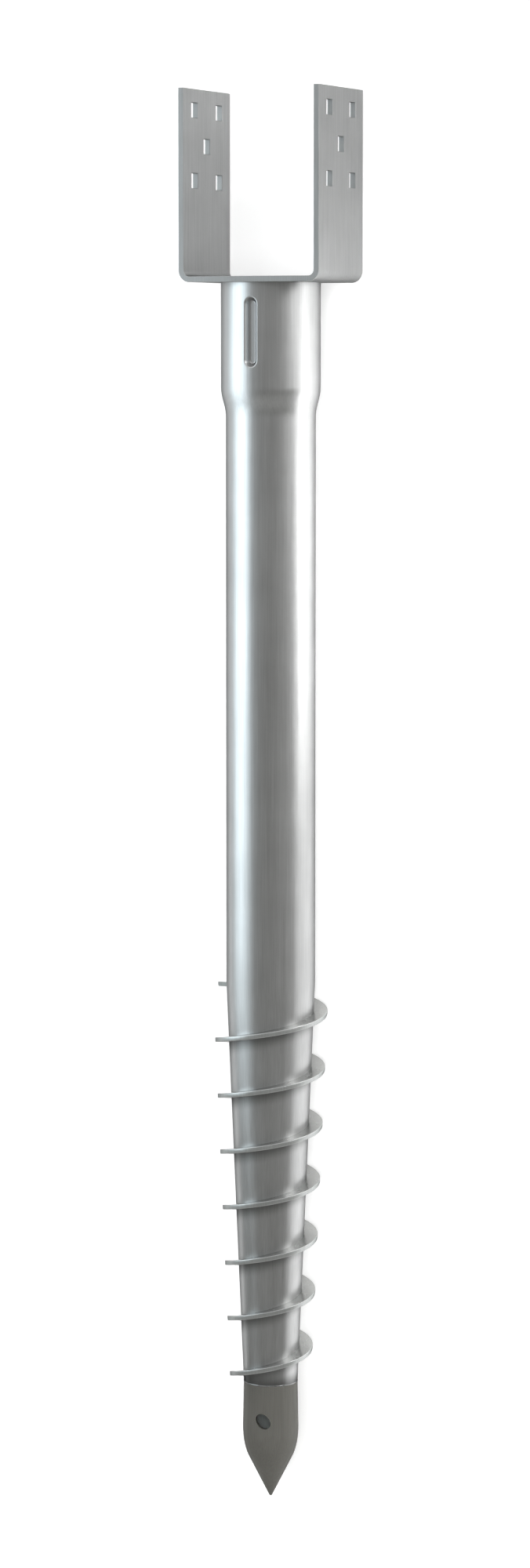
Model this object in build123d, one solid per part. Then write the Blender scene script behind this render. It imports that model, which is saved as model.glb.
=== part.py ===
"""Ground screw (helical pile) with a U-shaped fork for a timber post.

Every piece is built upright: the pile's axis is Z, the fork opens towards +Z, its ears
stand at -Y and +Y, and the front is +X. lay_down then turns it on its back, as it rests on
the ground: +X runs along the pile towards the fork, +Z is up and the front faces up.
The origin is the centre of the fork's seat, on the pile's axis. Sizes are in millimetres.
"""
from build123d import *
from math import atan2, cos, degrees, radians, sin, tan
import os

# Post fork, one plate folded into a U
POST_GAP = 121.0
EAR_HEIGHT = 160.0
PLATE_WIDTH = 96.0
PLATE_THICKNESS = 5.0
BEND_INNER_RADIUS = 5.0

# Square punched holes in each ear: a rectangle of four with one in its centre
HOLE_SIZE = 13.0
HOLE_COLUMN_SPACING = 50.0
HOLE_ROW_SPACING = 60.0
HOLE_TOP_MARGIN = 18.0

# Vent through the seat, which lets air and zinc out of the tube in the galvanising bath
VENT_DIAMETER = 14.0

# Tube: wide head, swage, straight shaft and long cone
WALL = 3.0
HEAD_DIAMETER = 86.2
HEAD_LENGTH = 89.5
SWAGE_LENGTH = 26.0
SWAGE_EASE = 0.4
SHAFT_DIAMETER = 77.8
SHAFT_LENGTH = 492.8
CONE_LENGTH = 356.0
CONE_END_DIAMETER = 47.6

# Obround pockets pressed into the head
POCKET_COUNT = 3
POCKET_FLOOR_LENGTH = 53.4
POCKET_FLOOR_WIDTH = 5.4
POCKET_DEPTH = 5.3
POCKET_DRAFT = 30.0
POCKET_DROP = 42.6
POCKET_RIM_FILLET = 1.5
POCKET_FLOOR_FILLET = 1.0

# Flight: a flat strip wound round the cone as a right-hand helix
FLIGHT_WIDTH = 12.0
FLIGHT_THICKNESS = 4.0
FLIGHT_PITCH = 49.75
FLIGHT_TOP_GAP = 3.0
FLIGHT_END_GAP = 0.75
FLIGHT_TOP_ANGLE = -90.0

# Tip: barrel, ogive and cone, bored out, with an oval drain hole
TIP_LENGTH = 104.3
TIP_DIAMETER = 49.1
TIP_BARREL_LENGTH = 38.3
TIP_OGIVE_LENGTH = 30.0
TIP_HALF_ANGLE = 26.9
TIP_NOSE_RADIUS = 1.45
TIP_BORE_DEPTH = 50.0
TIP_BORE_POINT_ANGLE = 118.0
DRAIN_LENGTH = 15.0
DRAIN_WIDTH = 11.6
DRAIN_TILT = 45.0
DRAIN_DROP = 31.9
DRAIN_ANGLE = 7.5

# Weld between tube and tip, in the groove of two chamfers
SEAM_CHAMFER = 0.5

SURFACE_TOLERANCE = 0.01

# Heights along the axis, from the seat down
HEAD_TOP = -PLATE_THICKNESS
HEAD_END = HEAD_TOP - HEAD_LENGTH
SHAFT_TOP = HEAD_END - SWAGE_LENGTH
CONE_TOP = SHAFT_TOP - SHAFT_LENGTH
CONE_END = CONE_TOP - CONE_LENGTH

HEAD_RADIUS = HEAD_DIAMETER / 2
SHAFT_RADIUS = SHAFT_DIAMETER / 2
CONE_END_RADIUS = CONE_END_DIAMETER / 2
TUBE_FOOT_RADIUS = CONE_END_RADIUS - WALL
CONE_SLOPE = (SHAFT_RADIUS - CONE_END_RADIUS) / CONE_LENGTH


def cone_radius(height):
    """Outer radius of the tube's cone at a height."""
    return CONE_END_RADIUS + CONE_SLOPE * (height - CONE_END)


# The seam's groove in section, as radius and height
TUBE_GROOVE_EDGE = (cone_radius(CONE_END + SEAM_CHAMFER), CONE_END + SEAM_CHAMFER)
GROOVE_ROOT = (CONE_END_RADIUS - SEAM_CHAMFER, CONE_END)
TIP_GROOVE_EDGE = (CONE_END_RADIUS, CONE_END - SEAM_CHAMFER)


def u_bracket():
    """Folded plate with two ears, their square holes and the seat's vent."""
    outer_half = POST_GAP / 2 + PLATE_THICKNESS
    corners = [(-outer_half, EAR_HEIGHT), (-outer_half, -PLATE_THICKNESS)]
    corners += [(outer_half, -PLATE_THICKNESS), (outer_half, EAR_HEIGHT)]
    inner_corners = [(-POST_GAP / 2, EAR_HEIGHT), (-POST_GAP / 2, 0)]
    inner_corners += [(POST_GAP / 2, 0), (POST_GAP / 2, EAR_HEIGHT)]
    with BuildPart() as bracket:
        with BuildSketch(Plane.YZ):
            with BuildLine():
                FilletPolyline(*corners, radius=BEND_INNER_RADIUS + PLATE_THICKNESS)
                FilletPolyline(*inner_corners, radius=BEND_INNER_RADIUS)
                Line(corners[0], inner_corners[0])
                Line(corners[-1], inner_corners[-1])
            make_face()
        extrude(amount=PLATE_WIDTH / 2, both=True)
        grid_height = EAR_HEIGHT - HOLE_TOP_MARGIN - HOLE_ROW_SPACING / 2
        with BuildSketch(Plane.XZ.shift_origin((0, 0, grid_height))):
            Rectangle(HOLE_SIZE, HOLE_SIZE)
            with GridLocations(HOLE_COLUMN_SPACING, HOLE_ROW_SPACING, 2, 2):
                Rectangle(HOLE_SIZE, HOLE_SIZE)
        extrude(amount=POST_GAP, both=True, mode=Mode.SUBTRACT)
        with BuildSketch():
            Circle(VENT_DIAMETER / 2)
        extrude(amount=-POST_GAP, mode=Mode.SUBTRACT)
    return bracket.part


def tube_side(inset, cone_foot):
    """The tube's side line, inset from the outer surface, from the head to the cone's foot."""
    head = HEAD_RADIUS - inset
    shaft = SHAFT_RADIUS - inset
    ease = SWAGE_EASE * SWAGE_LENGTH
    head_side = Line((head, HEAD_TOP), (head, HEAD_END))
    Bezier((head, HEAD_END), (head, HEAD_END - ease), (shaft, SHAFT_TOP + ease), (shaft, SHAFT_TOP))
    Line((shaft, SHAFT_TOP), (shaft, CONE_TOP))
    Line((shaft, CONE_TOP), cone_foot)
    return head_side @ 0


def pocket_plug(behind):
    """Drafted obround that presses a pocket, at the front.

    behind is the wall that the metal keeps round the pocket: 0 gives the pocket itself, which
    reaches out past its rim, and more gives the bulge behind it, which ends within the wall.
    """
    draft = radians(POCKET_DRAFT)
    grow = 2 * behind * (1 / cos(draft) - tan(draft))
    floor_radius = HEAD_RADIUS - POCKET_DEPTH - behind
    reach = POCKET_DEPTH + behind / 2 if behind else POCKET_DEPTH + POCKET_RIM_FILLET
    floor = Plane(origin=(floor_radius, 0, HEAD_TOP - POCKET_DROP), x_dir=(0, 0, 1), z_dir=(1, 0, 0))
    with BuildPart() as plug:
        with BuildSketch(floor):
            SlotOverall(POCKET_FLOOR_LENGTH + grow, POCKET_FLOOR_WIDTH + grow)
        extrude(amount=reach, taper=-POCKET_DRAFT)
        if not behind:
            fillet(plug.faces().sort_by(Axis.X)[0].edges(), POCKET_FLOOR_FILLET)
    return plug.part


def on_head_surface(edge):
    """Whether an edge's middle lies on the head's outer surface."""
    middle = edge @ 0.5
    return abs((middle.X**2 + middle.Y**2) ** 0.5 - HEAD_RADIUS) < SURFACE_TOLERANCE


def pile_tube():
    """Head, swage, shaft and cone in one wall, with the pockets pressed in."""
    with BuildPart() as tube:
        with BuildSketch(Plane.XZ):
            with BuildLine():
                bore_foot = (TUBE_FOOT_RADIUS, CONE_END)
                Line(tube_side(0, TUBE_GROOVE_EDGE), tube_side(WALL, bore_foot))
                Polyline(TUBE_GROOVE_EDGE, GROOVE_ROOT, bore_foot)
            make_face()
        revolve(axis=Axis.Z)
        with PolarLocations(0, POCKET_COUNT):
            add(pocket_plug(WALL))
        with PolarLocations(0, POCKET_COUNT):
            add(pocket_plug(0), mode=Mode.SUBTRACT)
        fillet([edge for edge in tube.edges(Select.NEW) if on_head_surface(edge)], POCKET_RIM_FILLET)
    return tube.part


def helix_flight():
    """Strip standing square off the cone, its root on the tube and its ends cut square."""
    half = FLIGHT_THICKNESS / 2
    bottom = CONE_END + FLIGHT_END_GAP + half
    height = CONE_LENGTH - FLIGHT_TOP_GAP - FLIGHT_END_GAP - FLIGHT_THICKNESS
    half_angle = degrees(atan2(CONE_SLOPE, 1))
    lead = FLIGHT_PITCH / cos(radians(half_angle))

    def edge(stand_off, rise):
        level = bottom + rise
        radius = cone_radius(level) + stand_off
        return Edge.make_helix(lead, height, radius, (0, 0, level), (0, 0, 1), half_angle)

    corners = [(0, -half), (FLIGHT_WIDTH, -half), (FLIGHT_WIDTH, half), (0, half)]
    edges = [edge(stand_off, rise) for stand_off, rise in corners]
    sides = [Face.make_surface_from_curves(edges[i - 1], edges[i]) for i in range(len(edges))]
    ends = [Face(Wire.make_polygon([curve @ end for curve in edges])) for end in (0, 1)]
    strip = Solid(Shell(sides + ends))
    turned = 360 * height / FLIGHT_PITCH
    return strip.rotate(Axis.Z, FLIGHT_TOP_ANGLE - turned)


def drive_tip():
    """Pointed end, bored out from its top, with its oval drain hole through the front wall."""
    half_angle = radians(TIP_HALF_ANGLE)
    apex = CONE_END - TIP_LENGTH - TIP_NOSE_RADIUS * (1 / sin(half_angle) - 1)
    widest = (TIP_DIAMETER / 2, CONE_END - TIP_BARREL_LENGTH)
    ogive_end = widest[1] - TIP_OGIVE_LENGTH
    ogive_foot = ((ogive_end - apex) * tan(half_angle), ogive_end)
    flare = (widest[0] - TIP_GROOVE_EDGE[0]) / (TIP_GROOVE_EDGE[1] - widest[1])
    sides_meet = (widest[0] + flare * (widest[1] - apex)) / (1 + flare / tan(half_angle))
    ogive_pole = (sides_meet, apex + sides_meet / tan(half_angle))
    nose_centre = apex + TIP_NOSE_RADIUS / sin(half_angle)
    nose_edge = (TIP_NOSE_RADIUS * cos(half_angle), nose_centre - TIP_NOSE_RADIUS * sin(half_angle))
    nose_point = (0, nose_centre - TIP_NOSE_RADIUS)
    bore_top = (TUBE_FOOT_RADIUS, CONE_END)
    bore_end = (TUBE_FOOT_RADIUS, CONE_END - TIP_BORE_DEPTH)
    bore_point = (0, bore_end[1] - bore_end[0] / tan(radians(TIP_BORE_POINT_ANGLE / 2)))
    with BuildPart() as tip:
        with BuildSketch(Plane.XZ):
            with BuildLine():
                Polyline(bore_point, bore_end, bore_top, GROOVE_ROOT, TIP_GROOVE_EDGE, widest)
                Bezier(widest, ogive_pole, ogive_foot)
                Line(ogive_foot, nose_edge)
                TangentArc(nose_point, nose_edge, tangent=(1, 0))
                Line(nose_point, bore_point)
            make_face()
        revolve(axis=Axis.Z)
        front = Plane.YZ.rotated((0, 0, DRAIN_ANGLE)).shift_origin((0, 0, CONE_END - DRAIN_DROP))
        with BuildSketch(front):
            Ellipse(DRAIN_LENGTH / 2, DRAIN_WIDTH / 2, rotation=-DRAIN_TILT)
        extrude(amount=TIP_DIAMETER, mode=Mode.SUBTRACT)
    return tip.part


def tip_weld():
    """Weld ring that fills the groove between tube and tip, ground flush."""
    with BuildPart() as weld:
        with BuildSketch(Plane.XZ):
            with BuildLine():
                Polyline(TUBE_GROOVE_EDGE, GROOVE_ROOT, TIP_GROOVE_EDGE, close=True)
            make_face()
        revolve(axis=Axis.Z)
    return weld.part


def lay_down(piece):
    """Turn an upright piece onto its back: +Z to +X, front to +Z."""
    return Plane(origin=(0, 0, 0), x_dir=(0, 0, 1), z_dir=(1, 0, 0)).location * piece


PIECES = {
    "u_bracket": u_bracket,
    "pile_tube": pile_tube,
    "helix_flight": helix_flight,
    "drive_tip": drive_tip,
    "tip_weld": tip_weld,
}

os.makedirs("parts", exist_ok=True)
for node, make in PIECES.items():
    piece = lay_down(make())
    box = piece.bounding_box()
    print(node, round(piece.volume), [round(v, 2) for v in (*box.min, *box.max)])
    export_step(piece, f"parts/{node}.step")
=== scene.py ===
"""Ground screw with a U-shaped post fork, lying on a pale studio floor.

The frame's +X runs along the pile from its tip towards the open end of the fork, and +Z is
up. Angles round the pile are counted from its front, +Z, towards -Y. Lengths are in metres.
"""
import bmesh
import bpy
import numpy as np
from functools import partial
from math import atan2, cos, hypot, pi, radians, sin, tan
from mathutils import Matrix, Vector, noise


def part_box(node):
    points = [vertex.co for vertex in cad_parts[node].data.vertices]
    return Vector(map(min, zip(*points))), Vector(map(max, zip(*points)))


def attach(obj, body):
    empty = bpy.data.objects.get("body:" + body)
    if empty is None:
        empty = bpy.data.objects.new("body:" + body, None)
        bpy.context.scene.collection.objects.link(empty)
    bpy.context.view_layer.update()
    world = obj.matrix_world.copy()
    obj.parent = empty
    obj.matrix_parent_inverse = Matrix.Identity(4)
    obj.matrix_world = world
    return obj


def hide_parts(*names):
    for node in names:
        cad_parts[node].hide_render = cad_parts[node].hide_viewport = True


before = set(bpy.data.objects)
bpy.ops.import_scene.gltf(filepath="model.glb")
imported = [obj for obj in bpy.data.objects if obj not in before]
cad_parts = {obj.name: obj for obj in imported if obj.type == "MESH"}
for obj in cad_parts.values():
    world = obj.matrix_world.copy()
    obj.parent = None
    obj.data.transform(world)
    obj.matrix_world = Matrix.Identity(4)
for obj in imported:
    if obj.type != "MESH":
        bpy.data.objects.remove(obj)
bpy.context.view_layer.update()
MM = 0.001

# Sizes read from the frame
bracket_low, bracket_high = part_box("u_bracket")
tube_low, tube_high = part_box("pile_tube")
tip_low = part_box("drive_tip")[0]

# Edges that turn by less than this many degrees are shaded smooth, and the plate's others rounded
CREASE = 35
PLATE_CREASE = 40
BEAD_CREASE = 40

# Post fork
EAR_END = bracket_high.x
PLATE_THICKNESS = -bracket_low.x
FORK_HALF_WIDTH = bracket_high.y
PLATE_HALF_WIDTH = bracket_high.z
BEND_INNER_RADIUS = 5 * MM
BEND_STEPS = 12
PLATE_EDGE = 0.45 * MM
PLATE_EDGE_STEPS = 3

# Square holes: four round a centre and one in it, and the seat's round vent
HOLE_SIZE = 13 * MM
HOLE_COLUMN_OFFSET = 25 * MM
HOLE_ROW_OFFSET = 30 * MM
HOLE_TOP_MARGIN = 18 * MM
VENT_RADIUS = 7 * MM
VENT_STEPS = 64

# Tube
WALL = 3 * MM
HEAD_TOP = tube_high.x
HEAD_RADIUS = 43.1 * MM
HEAD_END = HEAD_TOP - 89.5 * MM
SHAFT_RADIUS = 38.9 * MM
SHAFT_TOP = HEAD_END - 26 * MM
SWAGE_EASE = 10.4 * MM
SWAGE_STEPS = 24
CONE_TOP = SHAFT_TOP - 492.8 * MM
CONE_END = tube_low.x
CONE_END_RADIUS = 23.8 * MM
CONE_SLOPE = (SHAFT_RADIUS - CONE_END_RADIUS) / (CONE_TOP - CONE_END)
LAST_ROW_HEIGHT = 2 * MM
INNER_ROW_STEP = 3
COLUMNS_BETWEEN_POCKETS = 36

# Pockets pressed into the head
POCKET_ANGLES = [radians(a) for a in (0, 120, 240)]
POCKET_X = HEAD_TOP - 42.6 * MM
POCKET_HALF_STRAIGHT = 24 * MM
POCKET_FLOOR_RADIUS = 2.7 * MM
POCKET_FLOOR = HEAD_RADIUS - 5.3 * MM
POCKET_WALL_SLOPE = 1 / tan(radians(30))
RIM_BLEND = 1.3 * MM
FLOOR_BLEND = 0.9 * MM
POCKET_REACH = 8.5 * MM
FINE_STEP = 0.35 * MM

# Flight
FLIGHT_WIDTH = 12 * MM
FLIGHT_HALF_THICKNESS = 2 * MM
FLIGHT_PITCH = 49.75 * MM
FLIGHT_TOP = CONE_TOP - 5 * MM
FLIGHT_BOTTOM = CONE_END + 2.75 * MM
FLIGHT_TOP_ANGLE = radians(-90)
FLIGHT_STEPS_PER_TURN = 144
FLIGHT_EDGE = 0.45 * MM
FLIGHT_EDGE_STEPS = 3

# Tip, and its bore with a drill point
TIP_END = tip_low.x
TIP_RADIUS = 24.55 * MM
TIP_COLUMNS = 160
BARREL_LENGTH = 38.3 * MM
BARREL_STEPS = 29
OGIVE_LENGTH = 30 * MM
OGIVE_STEPS = 24
TIP_HALF_ANGLE = radians(26.9)
POINT_STEPS = 11
NOSE_RADIUS = 1.45 * MM
NOSE_STEPS = 6
TIP_BORE_DEPTH = 50 * MM
BORE_STEPS = 29
BORE_POINT_HALF_ANGLE = radians(59)
BORE_POINT_STEPS = 4

# Oval drain hole through the tip's front
DRAIN_HALF_LENGTH = 7.5 * MM
DRAIN_HALF_WIDTH = 5.8 * MM
DRAIN_TILT = radians(-45)
DRAIN_X = CONE_END - 31.9 * MM
DRAIN_ANGLE = radians(7.5)
DRAIN_STEPS = 72

# Weld bead in the groove between tube and tip
SEAM_CHAMFER = 0.5 * MM
BEAD_CROWN = 0.16 * MM
BEAD_RIPPLE = 0.1 * MM
BEAD_RIPPLE_SCALE = 9
BEAD_COLUMNS = 240
BEAD_STEPS = 6

# Noise in the zinc: length along the pile, width across it and detail
BRUSHING = (60 * MM, 0.8 * MM, 2)
BANDS = (300 * MM, 6 * MM, 2)
CLOUDS = (40 * MM, 30 * MM, 4)
NOISE_LOW = 0.3
NOISE_HIGH = 0.7
ROUGHNESS_SWING = 0.03
BUMP_STRENGTH = 0.12
BUMP_HEIGHT = 0.02 * MM

# Painted shade darkening the zinc under each turn of the flight and beside the tip's seam
TURN_SHADE = 0.45
TURN_SHADE_REACH = 14 * MM
FOOT_SHADE = 0.4
FOOT_SHADE_REACH = 12 * MM

# Limits that pick the faces of a second or third material
ROLLED_FACING = 0.8
BORE_FACING = -0.4
DRAIN_WALL_FACING = 0.6
DRAIN_WALL_HEIGHT = 0.6 * CONE_END_RADIUS

# Floor, just under the object's lowest point
FLOOR_Z = -50.3 * MM
FLOOR_SIZE = 6.0
FLOOR_COLOUR = 0.8
FLOOR_GLOW = 0.5

# Surroundings by direction: 0 is straight past the tip, 0.5 across the pile, 1 past the fork
WORLD_LEVELS = [
    (0.10, (0.52, 0.52, 0.51)),
    (0.28, (0.31, 0.31, 0.30)),
    (0.36, (0.18, 0.178, 0.166)),
    (0.50, (0.268, 0.268, 0.263)),
    (0.61, (0.27, 0.27, 0.265)),
    (0.68, (0.9, 0.9, 0.9)),
]

# Camera at the photograph's viewpoint; lens and sensor in millimetres, for a 676 by 2000 frame
CAMERA_PLACE = Vector((-0.065386, -1.488401, 3.351694))
CAMERA_ROUND = radians(24.024)
CAMERA_PITCH = radians(5.822)
CAMERA_LENS = 97.05
CAMERA_SENSOR = 36


# Mesh helpers
def place(x, radius, angle):
    """Point at a radius and angle round the pile's axis."""
    return (x, -radius * sin(angle), radius * cos(angle))


def mesh_object(name, vertices, faces):
    """New object from vertices and faces."""
    mesh = bpy.data.meshes.new(name)
    mesh.from_pydata([tuple(v) for v in vertices], [], faces)
    mesh.validate()
    made = bpy.data.objects.new(name, mesh)
    bpy.context.scene.collection.objects.link(made)
    return made


def smooth(made, below):
    """Shade smooth across every edge that turns by less than some degrees."""
    mesh = made.data
    mesh.polygons.foreach_set("use_smooth", [True] * len(mesh.polygons))
    mesh.set_sharp_from_angle(angle=radians(below))


def fix_normals(made):
    """Turn every face of a closed mesh outwards."""
    work = bmesh.new()
    work.from_mesh(made.data)
    bmesh.ops.recalc_face_normals(work, faces=work.faces)
    work.to_mesh(made.data)
    work.free()


def bake_modifiers(made):
    """Replace an object's mesh by what its modifiers make of it."""
    depsgraph = bpy.context.evaluated_depsgraph_get()
    made.data = bpy.data.meshes.new_from_object(made.evaluated_get(depsgraph))
    made.modifiers.clear()


def cut(made, cutters):
    """Cut other objects out of one, and delete them."""
    for cutter in cutters:
        modifier = made.modifiers.new("cut", "BOOLEAN")
        modifier.operation = "DIFFERENCE"
        modifier.solver = "EXACT"
        modifier.object = cutter
    bake_modifiers(made)
    for cutter in cutters:
        bpy.data.objects.remove(cutter)


def ring_faces(rows, columns, closed_rows=False):
    """Quads between neighbouring rings of equal size, and from the last to the first if closed."""
    faces = []
    for i in range(rows if closed_rows else rows - 1):
        for j in range(columns):
            a, b = i * columns, (i + 1) % rows * columns
            k = (j + 1) % columns
            faces.append((a + j, b + j, b + k, a + k))
    return faces


def prism(name, outline, low, high, to_place):
    """Closed prism of an outline between two levels; to_place maps outline and level to a point."""
    count = len(outline)
    vertices = [to_place(p, level) for level in (low, high) for p in outline]
    faces = ring_faces(2, count)
    faces += [tuple(range(count)), tuple(reversed(range(count, 2 * count)))]
    made = mesh_object(name, vertices, faces)
    fix_normals(made)
    return made


def round_turns(steps):
    """Angles of a full turn in equal steps."""
    return [2 * pi * i / steps for i in range(steps)]


def bezier(poles, steps):
    """Points along a Bezier curve, straight if it has two poles, both ends included."""
    points = []
    for i in range(steps + 1):
        t = i / steps
        level = [np.array(p) for p in poles]
        while len(level) > 1:
            level = [(1 - t) * a + t * b for a, b in zip(level, level[1:])]
        points.append(tuple(level[0]))
    return points


def smooth_min(a, b, blend):
    """The smaller of two heights, rounded over where they are within blend of each other."""
    overlap = max(blend - abs(a - b), 0) / blend
    return min(a, b) - overlap * overlap * blend / 4


# Post fork
def fork_line(radius):
    """One side line of the folded plate, from the left ear's end round to the right ear's."""
    bend_x = BEND_INNER_RADIUS
    bend_y = FORK_HALF_WIDTH - PLATE_THICKNESS - BEND_INNER_RADIUS
    left = [(EAR_END, bend_y + radius)]
    for i in range(BEND_STEPS + 1):
        turn = pi / 2 * i / BEND_STEPS
        left.append((bend_x - radius * sin(turn), bend_y + radius * cos(turn)))
    return left + [(x, -y) for x, y in reversed(left)]


def folded_plate():
    """The plate folded into a U, without holes and with sharp edges."""
    outer = fork_line(BEND_INNER_RADIUS + PLATE_THICKNESS)
    inner = fork_line(BEND_INNER_RADIUS)
    count = len(outer)
    vertices = []
    for line, z in ((outer, -1), (outer, 1), (inner, 1), (inner, -1)):
        vertices += [(x, y, z * PLATE_HALF_WIDTH) for x, y in line]
    faces = []
    for side in range(4):
        a, b = side * count, (side + 1) % 4 * count
        faces += [(a + i, a + i + 1, b + i + 1, b + i) for i in range(count - 1)]
    faces += [tuple(s * count for s in range(4)), tuple(s * count + count - 1 for s in (3, 2, 1, 0))]
    made = mesh_object("fork_plate", vertices, faces)
    fix_normals(made)
    return made


def hole_cutter(x, z):
    """Square prism through both ears."""
    half = HOLE_SIZE / 2
    square = [(-half, -half), (half, -half), (half, half), (-half, half)]
    reach = 2 * FORK_HALF_WIDTH
    return prism("hole", square, -reach, reach, lambda p, level: (x + p[0], level, z + p[1]))


def vent_cutter():
    """Round prism through the seat."""
    circle = [(VENT_RADIUS * cos(a), VENT_RADIUS * sin(a)) for a in round_turns(VENT_STEPS)]
    reach = 2 * PLATE_THICKNESS
    return prism("vent", circle, -reach, reach, lambda p, level: (level, *p))


def u_bracket():
    """Folded plate with square holes and a vent, its edges slightly rounded."""
    made = folded_plate()
    grid_x = EAR_END - HOLE_TOP_MARGIN - HOLE_ROW_OFFSET
    spots = [(grid_x + a * HOLE_ROW_OFFSET, b * HOLE_COLUMN_OFFSET) for a in (-1, 1) for b in (-1, 1)]
    spots.append((grid_x, 0))
    cut(made, [hole_cutter(x, z) for x, z in spots] + [vent_cutter()])
    bevel = made.modifiers.new("edges", "BEVEL")
    bevel.width = PLATE_EDGE
    bevel.segments = PLATE_EDGE_STEPS
    bevel.limit_method = "ANGLE"
    bevel.angle_limit = radians(PLATE_CREASE)
    bevel.harden_normals = True
    smooth(made, PLATE_CREASE)
    bake_modifiers(made)
    return made


# Tube
def tube_outline():
    """The tube's outer side line as (x, radius), from the head to the cone's foot."""
    levels = [HEAD_TOP]
    for end in (POCKET_X + POCKET_HALF_STRAIGHT, POCKET_X - POCKET_HALF_STRAIGHT):
        levels += list(np.arange(end + POCKET_REACH, end - POCKET_REACH, -FINE_STEP))
    line = [(x, HEAD_RADIUS) for x in levels]
    poles = [(HEAD_END, HEAD_RADIUS), (HEAD_END - SWAGE_EASE, HEAD_RADIUS)]
    poles += [(SHAFT_TOP + SWAGE_EASE, SHAFT_RADIUS), (SHAFT_TOP, SHAFT_RADIUS)]
    line += bezier(poles, SWAGE_STEPS)
    line += [(CONE_TOP, SHAFT_RADIUS)]
    foot = CONE_END + SEAM_CHAMFER
    for x in (foot + LAST_ROW_HEIGHT, foot):
        line.append((x, CONE_END_RADIUS + CONE_SLOPE * (x - CONE_END)))
    return line


def tube_angles():
    """Angles of the tube's vertex columns, close together across each pocket."""
    angles = []
    half = POCKET_REACH / HEAD_RADIUS
    between = 2 * pi / len(POCKET_ANGLES) - 2 * half
    for centre in POCKET_ANGLES:
        angles += list(centre + np.arange(-half, half, FINE_STEP / HEAD_RADIUS))
        angles += list(centre + half + between * np.arange(0, 1, 1 / COLUMNS_BETWEEN_POCKETS))
    return angles


def pressed(x, radius, angle, inset):
    """Point of the tube's outside, pressed in where a pocket lies, moved inwards by the inset."""
    for centre in POCKET_ANGLES:
        turn = (angle - centre + pi) % (2 * pi) - pi
        across = HEAD_RADIUS * sin(turn)
        along = max(abs(x - POCKET_X) - POCKET_HALF_STRAIGHT, 0)
        if abs(across) < POCKET_REACH and cos(turn) > 0 and along < POCKET_REACH:
            beyond = hypot(along, across) - POCKET_FLOOR_RADIUS
            wall = POCKET_FLOOR + beyond * POCKET_WALL_SLOPE
            floor_and_wall = -smooth_min(-POCKET_FLOOR, -wall, FLOOR_BLEND)
            height = smooth_min(floor_and_wall, HEAD_RADIUS * cos(turn), RIM_BLEND)
            reach = hypot(height, across)
            return place(x, reach - inset, centre + atan2(across, height))
    return place(x, radius - inset, angle)


def pile_tube():
    """Head with its pockets, swage, shaft and cone, with the wall inside."""
    angles = tube_angles()
    outer = tube_outline()
    inner = [row for i, row in enumerate(outer) if i % INNER_ROW_STEP == 0 or row[0] < HEAD_END]
    rows = [[pressed(x, r, a, 0) for a in angles] for x, r in outer]
    rows.append([place(CONE_END, CONE_END_RADIUS - SEAM_CHAMFER, a) for a in angles])
    rows.append([place(CONE_END, CONE_END_RADIUS - WALL, a) for a in angles])
    rows += [[pressed(x, r, a, WALL) for a in angles] for x, r in reversed(inner)]
    vertices = [v for row in rows for v in row]
    made = mesh_object("swaged_tube", vertices, ring_faces(len(rows), len(angles), True))
    smooth(made, CREASE)
    return made


# Flight
def flight_section():
    """Strip section as (stand-off, rise): square root corners, rounded rim corners."""
    section = [(0, -FLIGHT_HALF_THICKNESS)]
    for side, start in ((-1, -pi / 2), (1, 0)):
        centre_out = FLIGHT_WIDTH - FLIGHT_EDGE
        centre_rise = side * (FLIGHT_HALF_THICKNESS - FLIGHT_EDGE)
        for i in range(FLIGHT_EDGE_STEPS + 1):
            turn = start + pi / 2 * i / FLIGHT_EDGE_STEPS
            section.append((centre_out + FLIGHT_EDGE * cos(turn), centre_rise + FLIGHT_EDGE * sin(turn)))
    section.append((0, FLIGHT_HALF_THICKNESS))
    return section


def helix_flight():
    """Strip wound on edge round the cone as a right-hand helix."""
    section = flight_section()
    climb = FLIGHT_TOP - FLIGHT_BOTTOM
    steps = round(climb / FLIGHT_PITCH * FLIGHT_STEPS_PER_TURN)
    vertices = []
    for i in range(steps + 1):
        level = FLIGHT_TOP - climb * i / steps
        angle = FLIGHT_TOP_ANGLE - 2 * pi * (FLIGHT_TOP - level) / FLIGHT_PITCH
        for stand_off, rise in section:
            radius = CONE_END_RADIUS + CONE_SLOPE * (level + rise - CONE_END) + stand_off
            vertices.append(place(level + rise, radius, angle))
    count = len(section)
    last = steps * count
    faces = ring_faces(steps + 1, count)
    faces += [tuple(reversed(range(count))), tuple(range(last, last + count))]
    made = mesh_object("flight_strip", vertices, faces)
    fix_normals(made)
    smooth(made, CREASE)
    return made


# Tip
def bore_line():
    """The bore's side line as (x, radius), from its drill point to the tip's open end."""
    bore = CONE_END_RADIUS - WALL
    bore_end = CONE_END - TIP_BORE_DEPTH
    bore_point = bore_end - bore / tan(BORE_POINT_HALF_ANGLE)
    line = bezier([(bore_point, 0), (bore_end, bore)], BORE_POINT_STEPS)[:-1]
    return line + bezier([(bore_end, bore), (CONE_END, bore)], BORE_STEPS)


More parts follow.
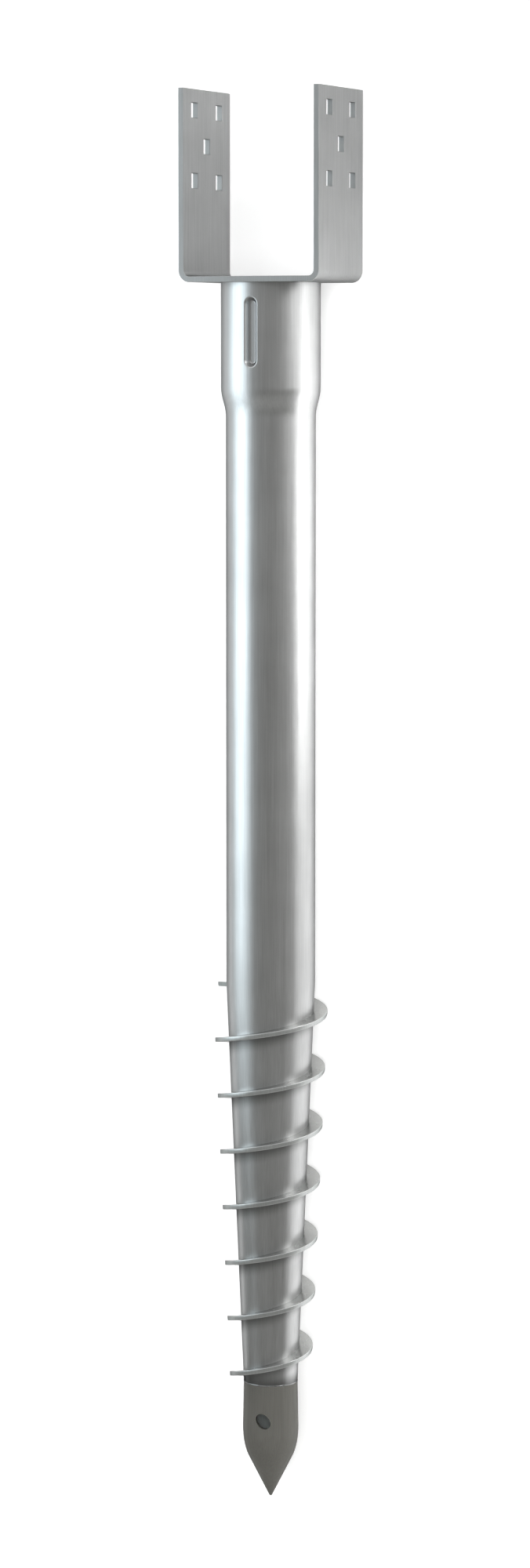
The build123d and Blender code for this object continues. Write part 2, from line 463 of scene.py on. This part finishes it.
def outside_line():
    """The tip's outer side line as (x, radius): barrel, ogive, point and rounded nose."""
    apex = TIP_END - NOSE_RADIUS * (1 / sin(TIP_HALF_ANGLE) - 1)
    shoulder = (CONE_END - SEAM_CHAMFER, CONE_END_RADIUS)
    widest = (CONE_END - BARREL_LENGTH, TIP_RADIUS)
    ogive_end = widest[0] - OGIVE_LENGTH
    flare = (widest[1] - shoulder[1]) / (shoulder[0] - widest[0])
    pole_radius = (widest[1] + flare * (widest[0] - apex)) / (1 + flare / tan(TIP_HALF_ANGLE))
    pole = (apex + pole_radius / tan(TIP_HALF_ANGLE), pole_radius)
    foot = (ogive_end, (ogive_end - apex) * tan(TIP_HALF_ANGLE))
    nose_centre = apex + NOSE_RADIUS / sin(TIP_HALF_ANGLE)
    nose_edge = (nose_centre - NOSE_RADIUS * sin(TIP_HALF_ANGLE), NOSE_RADIUS * cos(TIP_HALF_ANGLE))
    line = bezier([shoulder, widest], BARREL_STEPS)
    line += bezier([widest, pole, foot], OGIVE_STEPS)[1:]
    line += bezier([foot, nose_edge], POINT_STEPS)[1:]
    for i in range(1, NOSE_STEPS + 1):
        turn = TIP_HALF_ANGLE + (pi / 2 - TIP_HALF_ANGLE) * i / NOSE_STEPS
        line.append((nose_centre - NOSE_RADIUS * sin(turn), max(NOSE_RADIUS * cos(turn), 0)))
    return line


def drain_cutter():
    """Oval prism from the pile's axis out through the tip's front, tilted from the pile's line."""
    c, s = cos(DRAIN_TILT), sin(DRAIN_TILT)
    oval = []
    for a in round_turns(DRAIN_STEPS):
        long, wide = DRAIN_HALF_LENGTH * cos(a), DRAIN_HALF_WIDTH * sin(a)
        oval.append((long * c - wide * s, long * s + wide * c))
    centre = Vector((DRAIN_X, 0, 0))
    along = Vector((1, 0, 0))
    across = Vector((0, -cos(DRAIN_ANGLE), -sin(DRAIN_ANGLE)))
    out = Vector((0, -sin(DRAIN_ANGLE), cos(DRAIN_ANGLE)))

    def to_place(p, level):
        return centre + along * p[0] + across * p[1] + out * level

    return prism("drain", oval, 0, 2 * TIP_RADIUS, to_place)


def drive_tip():
    """Bored tip with its oval drain hole."""
    line = bore_line() + [(CONE_END, CONE_END_RADIUS - SEAM_CHAMFER)] + outside_line()
    vertices = [(line[0][0], 0, 0)]
    vertices += [place(x, r, a) for x, r in line[1:-1] for a in round_turns(TIP_COLUMNS)]
    vertices.append((line[-1][0], 0, 0))
    nose = len(vertices) - 1
    ring = nose - TIP_COLUMNS
    faces = [(0, 1 + (j + 1) % TIP_COLUMNS, 1 + j) for j in range(TIP_COLUMNS)]
    faces += [tuple(i + 1 for i in f) for f in ring_faces(len(line) - 2, TIP_COLUMNS)]
    faces += [(ring + j, ring + (j + 1) % TIP_COLUMNS, nose) for j in range(TIP_COLUMNS)]
    made = mesh_object("bored_tip", vertices, faces)
    fix_normals(made)
    cut(made, [drain_cutter()])
    smooth(made, CREASE)
    return made


def tip_weld():
    """Dressed weld ring in the groove between tube and tip, its crown a little uneven."""
    tube_edge, tip_edge = CONE_END + SEAM_CHAMFER, CONE_END - SEAM_CHAMFER
    tube_radius = CONE_END_RADIUS + CONE_SLOPE * SEAM_CHAMFER
    vertices = []
    for angle in round_turns(BEAD_COLUMNS):
        spot = Vector((cos(angle), sin(angle), 0)) * BEAD_RIPPLE_SCALE
        crown = BEAD_CROWN + BEAD_RIPPLE * noise.noise(spot)
        for i in range(BEAD_STEPS + 1):
            t = i / BEAD_STEPS
            radius = tube_radius + (CONE_END_RADIUS - tube_radius) * t + crown * sin(pi * t)
            vertices.append(place(tube_edge + (tip_edge - tube_edge) * t, radius, angle))
        vertices.append(place(CONE_END, CONE_END_RADIUS - SEAM_CHAMFER, angle))
    made = mesh_object("seam_bead", vertices, ring_faces(BEAD_COLUMNS, BEAD_STEPS + 2, True))
    fix_normals(made)
    smooth(made, BEAD_CREASE)
    return made


# Materials
def reckon(nodes, links, operation, first, second):
    """Result of a sum on two values, each a number or a node's output."""
    node = nodes.new("ShaderNodeMath")
    node.operation = operation
    for socket, value in zip(node.inputs, (first, second)):
        if isinstance(value, (int, float)):
            socket.default_value = value
        else:
            links.new(value, socket)
    return node.outputs[0]


def streak_noise(nodes, links, where, length, width, detail):
    """Noise drawn out along the pile, as brushing leaves it; length and width in metres."""
    stretch = nodes.new("ShaderNodeMapping")
    stretch.inputs["Scale"].default_value = (1 / length, 1 / width, 1 / width)
    streaks = nodes.new("ShaderNodeTexNoise")
    streaks.inputs["Scale"].default_value = 1
    streaks.inputs["Detail"].default_value = detail
    links.new(where.outputs["Object"], stretch.inputs["Vector"])
    links.new(stretch.outputs["Vector"], streaks.inputs["Vector"])
    return streaks.outputs["Fac"]


def ranged(nodes, links, noise_value, low, high):
    """A noise's middle range spread from low to high."""
    spread = nodes.new("ShaderNodeMapRange")
    spread.inputs["From Min"].default_value = NOISE_LOW
    spread.inputs["From Max"].default_value = NOISE_HIGH
    spread.inputs["To Min"].default_value = low
    spread.inputs["To Max"].default_value = high
    links.new(noise_value, spread.inputs["Value"])
    return spread.outputs["Result"]


def eased_shade(nodes, links, distance, reach, least):
    """Factor that eases from least, where a distance is zero, to one where it is the reach."""
    ease = nodes.new("ShaderNodeMapRange")
    ease.interpolation_type = "SMOOTHSTEP"
    ease.inputs["From Max"].default_value = reach
    ease.inputs["To Min"].default_value = least
    links.new(distance, ease.inputs["Value"])
    return ease.outputs["Result"]


def painted_root_shade(nodes, links, where):
    """Factor of painted shade under each turn of the flight and beside the tip's seam.

    A point's way down from the flight's top, in pitches, and its angle, in turns, add up to a
    number whose fraction is the share of a pitch between the point and the turn above it.
    """
    result = partial(reckon, nodes, links)
    split = nodes.new("ShaderNodeSeparateXYZ")
    links.new(where.outputs["Object"], split.inputs[0])
    x, y, z = split.outputs
    angle = result("ARCTAN2", result("MULTIPLY", y, -1), z)
    turned = result("DIVIDE", result("SUBTRACT", angle, FLIGHT_TOP_ANGLE), 2 * pi)
    dropped = result("DIVIDE", result("SUBTRACT", FLIGHT_TOP, x), FLIGHT_PITCH)
    share = result("FRACT", result("ADD", dropped, turned), 0)
    drop = result("MULTIPLY", share, FLIGHT_PITCH)
    under = result("SUBTRACT", drop, FLIGHT_HALF_THICKNESS)
    # Painted shade: darkest just under each turn, easing off over the reach
    shade_near_turn = eased_shade(nodes, links, under, TURN_SHADE_REACH, TURN_SHADE)
    above_flight = result("GREATER_THAN", result("ADD", x, drop), FLIGHT_TOP + FLIGHT_HALF_THICKNESS)
    shade_below_turn = result("MAXIMUM", shade_near_turn, above_flight)
    # Painted shade on the tube's foot above the tip's seam, darkest at the seam
    foot = eased_shade(nodes, links, result("SUBTRACT", x, CONE_END), FOOT_SHADE_REACH, FOOT_SHADE)
    return result("MULTIPLY", shade_below_turn, foot)


def metal(name, colour, roughness, metallic=1.0, edge=0.1, grain=0.06, mottle=0.05, painted_shade=None):
    """Satin zinc: fine brushing along the pile over faint clouds.

    edge tints what it mirrors at a grazing angle, so a low one darkens its outline. grain and
    mottle say how far brushing and clouds change its colour, and the last one builds a factor of painted
    shade on it.
    """
    material = bpy.data.materials.new(name)
    material.use_nodes = True
    nodes, links = material.node_tree.nodes, material.node_tree.links
    shader = nodes["Principled BSDF"]
    shader.inputs["Metallic"].default_value = metallic
    shader.inputs["Specular Tint"].default_value = (edge, edge, edge, 1)
    where = nodes.new("ShaderNodeTexCoord")
    streaks = streak_noise(nodes, links, where, *BRUSHING)
    bands = streak_noise(nodes, links, where, *BANDS)
    clouds = streak_noise(nodes, links, where, *CLOUDS)
    brushed = ranged(nodes, links, streaks, -grain, grain)
    clouded = ranged(nodes, links, clouds, -mottle, mottle)
    brightness = reckon(nodes, links, "ADD", reckon(nodes, links, "ADD", brushed, clouded), 1)
    # Painted shade, where given, is multiplied into the colour
    if painted_shade:
        brightness = reckon(nodes, links, "MULTIPLY", brightness, painted_shade(nodes, links, where))
    shade = nodes.new("ShaderNodeVectorMath")
    shade.operation = "SCALE"
    shade.inputs[0].default_value = colour
    links.new(brightness, shade.inputs["Scale"])
    links.new(shade.outputs["Vector"], shader.inputs["Base Color"])
    rough = ranged(nodes, links, bands, roughness - ROUGHNESS_SWING, roughness + ROUGHNESS_SWING)
    links.new(rough, shader.inputs["Roughness"])
    bump = nodes.new("ShaderNodeBump")
    bump.inputs["Strength"].default_value = BUMP_STRENGTH
    bump.inputs["Distance"].default_value = BUMP_HEIGHT
    links.new(streaks, bump.inputs["Height"])
    links.new(bump.outputs["Normal"], shader.inputs["Normal"])
    return material


def finish_piece(made, node, slot, *materials):
    """Give a piece its materials, and let it stand for its node of the frame."""
    made.data.materials.clear()
    for material in materials:
        made.data.materials.append(material)
    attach(made, "root")
    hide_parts(node)


def line_rim(made):
    """Second material on the strip's slit rim and sheared ends, beside its rolled faces."""
    for face in made.data.polygons:
        if abs(face.normal.x) < ROLLED_FACING:
            face.material_index = 1


def line_bore(made):
    """Second material on the faces of the tip's bore, third, a painted dark shade, on the drain hole's
    wall.
    """
    for face in made.data.polygons:
        outward = Vector((0, face.center.y, face.center.z)).normalized()
        facing = face.normal.dot(outward)
        in_front = face.center.z > DRAIN_WALL_HEIGHT
        beside_drain = abs(face.center.x - DRAIN_X) < DRAIN_HALF_LENGTH
        if facing < BORE_FACING:
            face.material_index = 1
        elif facing < DRAIN_WALL_FACING and in_front and beside_drain:
            face.material_index = 2


# Floor, lights and camera
def pale_floor():
    """Plain floor, white to the camera and in reflections, that keeps the object's shadow."""
    half = FLOOR_SIZE / 2
    corners = [(x, y, FLOOR_Z) for x, y in ((-half, -half), (half, -half), (half, half), (-half, half))]
    floor = mesh_object("floor", corners, [(0, 1, 2, 3)])
    material = bpy.data.materials.new("pale_floor")
    material.use_nodes = True
    nodes, links = material.node_tree.nodes, material.node_tree.links
    nodes.clear()
    result = partial(reckon, nodes, links)
    rays = nodes.new("ShaderNodeLightPath").outputs
    seen = result("MAXIMUM", rays["Is Camera Ray"], rays["Is Glossy Ray"])
    seen = result("MAXIMUM", seen, rays["Is Transmission Ray"])
    matt = nodes.new("ShaderNodeBsdfDiffuse")
    matt.inputs["Color"].default_value = (FLOOR_COLOUR, FLOOR_COLOUR, FLOOR_COLOUR, 1)
    glow = nodes.new("ShaderNodeEmission")
    links.new(result("MULTIPLY", seen, FLOOR_GLOW), glow.inputs["Strength"])
    both = nodes.new("ShaderNodeAddShader")
    out = nodes.new("ShaderNodeOutputMaterial")
    links.new(matt.outputs[0], both.inputs[0])
    links.new(glow.outputs[0], both.inputs[1])
    links.new(both.outputs[0], out.inputs["Surface"])
    floor.data.materials.append(material)


def dim_world():
    """Dim surroundings, darkest a little towards the tip and brightest past the fork."""
    world = bpy.data.worlds.new("studio")
    world.use_nodes = True
    nodes, links = world.node_tree.nodes, world.node_tree.links
    direction = nodes.new("ShaderNodeTexCoord")
    split = nodes.new("ShaderNodeSeparateXYZ")
    links.new(direction.outputs["Generated"], split.inputs[0])
    along = nodes.new("ShaderNodeMapRange")
    along.inputs["From Min"].default_value = -1
    along.inputs["From Max"].default_value = 1
    links.new(split.outputs["X"], along.inputs["Value"])
    levels = nodes.new("ShaderNodeValToRGB")
    stops = levels.color_ramp.elements
    stops.remove(stops[1])
    stops[0].position = WORLD_LEVELS[0][0]
    for position, _ in WORLD_LEVELS[1:]:
        stops.new(position)
    for stop, (_, colour) in zip(stops, WORLD_LEVELS):
        stop.color = (*colour, 1)
    links.new(along.outputs["Result"], levels.inputs["Fac"])
    links.new(levels.outputs["Color"], nodes["Background"].inputs["Color"])
    bpy.context.scene.world = world


def softbox(name, place_at, aim_at, length, width, radiance,
            colour=(1, 1, 1), spread=180, mirrored=True, turn=0):
    """Soft light of a stated brightness, its length along the pile.

    spread is the angle that its beam opens to, mirrored says whether metal shows the box, and
    turn is how far its length leans out of the pile's direction.
    """
    light = bpy.data.lights.new(name, "AREA")
    light.shape = "RECTANGLE"
    light.size = length
    light.size_y = width
    light.energy = radiance * pi * length * width
    light.color = colour
    light.spread = radians(spread)
    lamp = bpy.data.objects.new(name, light)
    bpy.context.scene.collection.objects.link(lamp)
    lamp.visible_camera = False
    lamp.visible_glossy = mirrored
    back = (Vector(place_at) - Vector(aim_at)).normalized()
    along = Vector((1, 0, 0))
    side = back.cross(along).normalized()
    axes = Matrix((along, side, back)).transposed().to_4x4()
    lamp.matrix_world = Matrix.Translation(place_at) @ axes @ Matrix.Rotation(radians(turn), 4, "Z")
    return lamp


def mirrored_boxes():
    """Large lights that the metal mirrors as bright bands; the left one lights nothing matt."""
    left_box = softbox("left_box", place_at=(-0.165, 1.02, 0.64), aim_at=(-0.165, 0, 0),
                       length=1.33, width=1.05, radiance=1.0, colour=(0.88, 1.0, 1.06), spread=120)
    left_box.visible_diffuse = False
    softbox("right_box", place_at=(2.02, -5.0, 0.9), aim_at=(2.02, 0, 0.9),
            length=2.9, width=3.0, radiance=2.4, turn=-20)
    softbox("far_card", place_at=(2.1, -5.0, 0.9), aim_at=(2.1, 0, 0.9),
            length=1.7, width=2.0, radiance=5.0)


def hidden_lights():
    """Lights hidden from reflections, which show on the floor and on the partly matt tip."""
    softbox("right_pool", place_at=(-0.22, -0.18, 0.40), aim_at=(-0.22, -0.32, FLOOR_Z),
            length=0.30, width=0.2, radiance=14, spread=50, mirrored=False)
    softbox("right_fill", place_at=(-0.515, -0.10, 0.20), aim_at=(-0.515, -0.075, FLOOR_Z),
            length=1.13, width=0.04, radiance=1.15, spread=42, mirrored=False)
    softbox("top_light", place_at=(-0.45, -0.1, 1.0), aim_at=(-0.45, -0.02, FLOOR_Z),
            length=1.7, width=0.3, radiance=0.41, spread=40, mirrored=False)
    softbox("axis_key", place_at=(-0.70, -0.47, 1.06), aim_at=(-1.0, 0, 0),
            length=0.15, width=0.15, radiance=20, mirrored=False)
    softbox("left_pool", place_at=(-0.45, 0.50, 0.80), aim_at=(-0.45, 0.50, FLOOR_Z),
            length=1.8, width=0.5, radiance=0.26, spread=70, mirrored=False)


def camera():
    """Camera at the photograph's viewing angle."""
    data = bpy.data.cameras.new("camera")
    data.sensor_width = CAMERA_SENSOR
    data.lens = CAMERA_LENS
    made = bpy.data.objects.new("camera", data)
    bpy.context.scene.collection.objects.link(made)
    level = cos(CAMERA_PITCH)
    forward = Vector((-sin(CAMERA_PITCH), sin(CAMERA_ROUND) * level, -cos(CAMERA_ROUND) * level))
    right = Vector((0, -cos(CAMERA_ROUND), -sin(CAMERA_ROUND)))
    up = right.cross(forward)
    axes = Matrix((right, up, -forward)).transposed().to_4x4()
    made.matrix_world = Matrix.Translation(CAMERA_PLACE) @ axes
    bpy.context.scene.camera = made


# The object, piece by piece
plate_zinc = metal("plate_zinc", (0.465, 0.47, 0.47), 0.40, grain=0.08)
# The tube's colour carries painted shade under the flight's turns and above the tip's seam
tube_zinc = metal("tube_zinc", (0.55, 0.555, 0.555), 0.36, edge=0.15, painted_shade=painted_root_shade)
strip_zinc = metal("strip_zinc", (0.50, 0.505, 0.495), 0.25, edge=0.58)
rim_zinc = metal("rim_zinc", (0.57, 0.585, 0.58), 0.40, edge=0.08)
tip_zinc = metal("tip_zinc", (0.16, 0.157, 0.143), 0.5, metallic=0.3, edge=0.0)
bore_zinc = metal("bore_zinc", (0.64, 0.68, 0.67), 0.8, metallic=0.0)
# Near-black painted shade for the drain hole's wall, standing in for the hollow tip's occlusion
drain_wall_shade = metal("drain_wall_shade", (0.10, 0.10, 0.09), 0.7, metallic=0.5)
weld_zinc = metal("weld_zinc", (0.36, 0.365, 0.365), 0.25, mottle=0.6)

finish_piece(u_bracket(), "u_bracket", "galvanised_plate", plate_zinc)
finish_piece(pile_tube(), "pile_tube", "galvanised_tube", tube_zinc)
flight = helix_flight()
finish_piece(flight, "helix_flight", "galvanised_strip", strip_zinc, rim_zinc)
line_rim(flight)
tip = drive_tip()
finish_piece(tip, "drive_tip", "galvanised_tip", tip_zinc, bore_zinc, drain_wall_shade)
line_bore(tip)
finish_piece(tip_weld(), "tip_weld", "dressed_weld", weld_zinc)

# The studio
pale_floor()
dim_world()
mirrored_boxes()
hidden_lights()
camera()
bpy.context.scene.view_settings.view_transform = "Standard"
